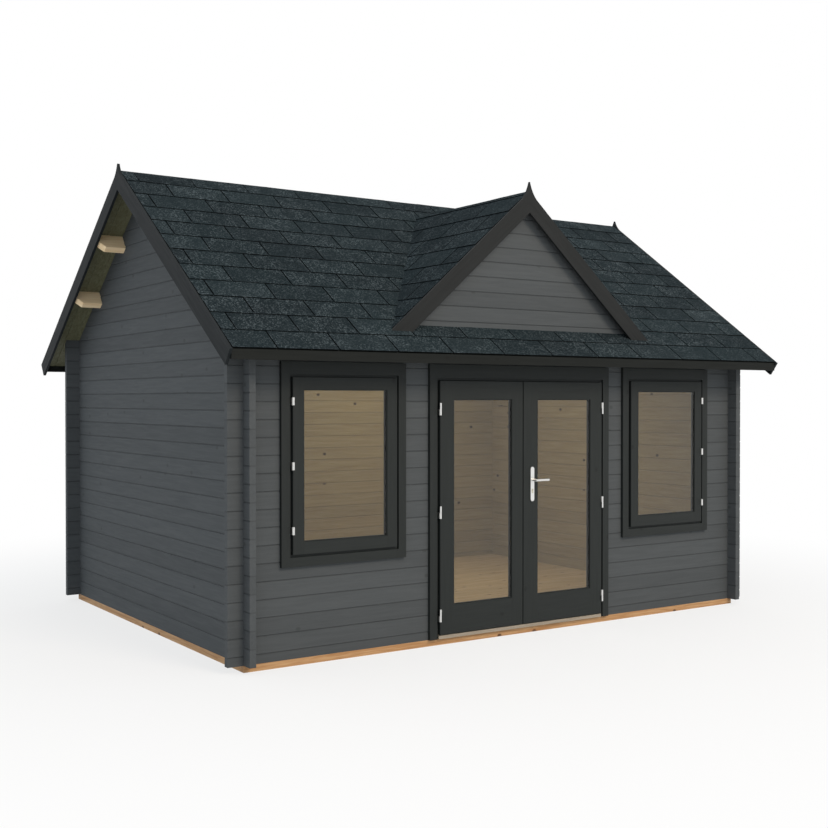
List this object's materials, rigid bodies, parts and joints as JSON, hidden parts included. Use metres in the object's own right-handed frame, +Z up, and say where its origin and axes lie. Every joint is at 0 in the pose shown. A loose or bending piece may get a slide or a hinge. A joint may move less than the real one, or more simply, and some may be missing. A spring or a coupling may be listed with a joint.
{
  "type": "garden log cabin",
  "caption": "Hollow garden log cabin with crossed log corners, a pitched shingle roof with a cross-gable dormer, a glazed double door and casement windows.",
  "frame": {"origin": "on the ground, in the middle of the four walls", "axes": "+Z up, the front with the doors looks along -Y, the ridge runs along X"},
  "size_m": [4.942, 3.852, 3.43],
  "materials": {
    "painted_logs": "matt grey stain outside",
    "raw_timber": "raw planed softwood",
    "floor_boards": "planed softwood boards",
    "roof_boards": "softwood boards under dark felt shingles",
    "dark_trim": "matt anthracite paint",
    "dark_joinery": "satin anthracite paint",
    "glass": "clear glazing units",
    "satin_steel": "satin steel",
    "threshold_strip": "plain aluminium strip"
  },
  "bodies": {
    "cabin": {"long_foundation_beams": "raw_timber", "short_foundation_beams": "raw_timber", "floor_joists": "raw_timber", "floor": "floor_boards", "left_wall": "painted_logs", "right_wall": "painted_logs", "back_wall": "painted_logs", "front_wall_left_lower": "painted_logs", "front_wall_left_end": "painted_logs", "front_wall_left_pier": "painted_logs", "front_wall_right_lower": "painted_logs", "front_wall_right_end": "painted_logs", "front_wall_right_pier": "painted_logs", "front_wall_top": "painted_logs", "ridge_purlin": "raw_timber", "side_purlins": "raw_timber", "front_roof": "roof_boards", "back_roof": "roof_boards", "front_fascia": "dark_trim", "back_fascia": "dark_trim", "front_bargeboards": "dark_trim", "back_bargeboards": "dark_trim", "dormer_gable": "painted_logs", "dormer_left_roof": "roof_boards", "dormer_right_roof": "roof_boards", "dormer_left_bargeboard": "dark_trim", "dormer_right_bargeboard": "dark_trim", "door_left_jamb": "dark_joinery", "door_right_jamb": "dark_joinery", "door_head": "dark_joinery", "door_threshold": "threshold_strip", "left_window_frame": "dark_joinery", "right_window_frame": "dark_joinery", "left_window_sash": "dark_joinery", "right_window_sash": "dark_joinery", "window_glass": "glass", "window_hinges": "satin_steel", "door_hinge_posts": "satin_steel"},
    "left_door": {"left_door_leaf": "dark_joinery", "left_door_glass": "glass", "left_hinge_sleeves": "satin_steel"},
    "right_door": {"right_door_leaf": "dark_joinery", "right_door_glass": "glass", "right_hinge_sleeves": "satin_steel", "handle_plates": "satin_steel"},
    "lever": {"door_lever": "satin_steel"}
  },
  "joints": [
    {"name": "left_door_hinge", "type": "hinge", "parent": "cabin", "child": "left_door", "pos_m": [-0.7665, -1.673, 0.928], "axis": [0, 0, -1], "range_deg": [0, 110]},
    {"name": "right_door_hinge", "type": "hinge", "parent": "cabin", "child": "right_door", "pos_m": [0.7465, -1.673, 0.928], "axis": [0, 0, 1], "range_deg": [0, 110]},
    {"name": "lever_turn", "type": "hinge", "parent": "right_door", "child": "lever", "pos_m": [0.055, -1.644, 1.123], "axis": [0, 1, 0], "range_deg": [0, 40], "stiffness_Nm_per_rad": 1.5, "springref_deg": -20.05}
  ]
}
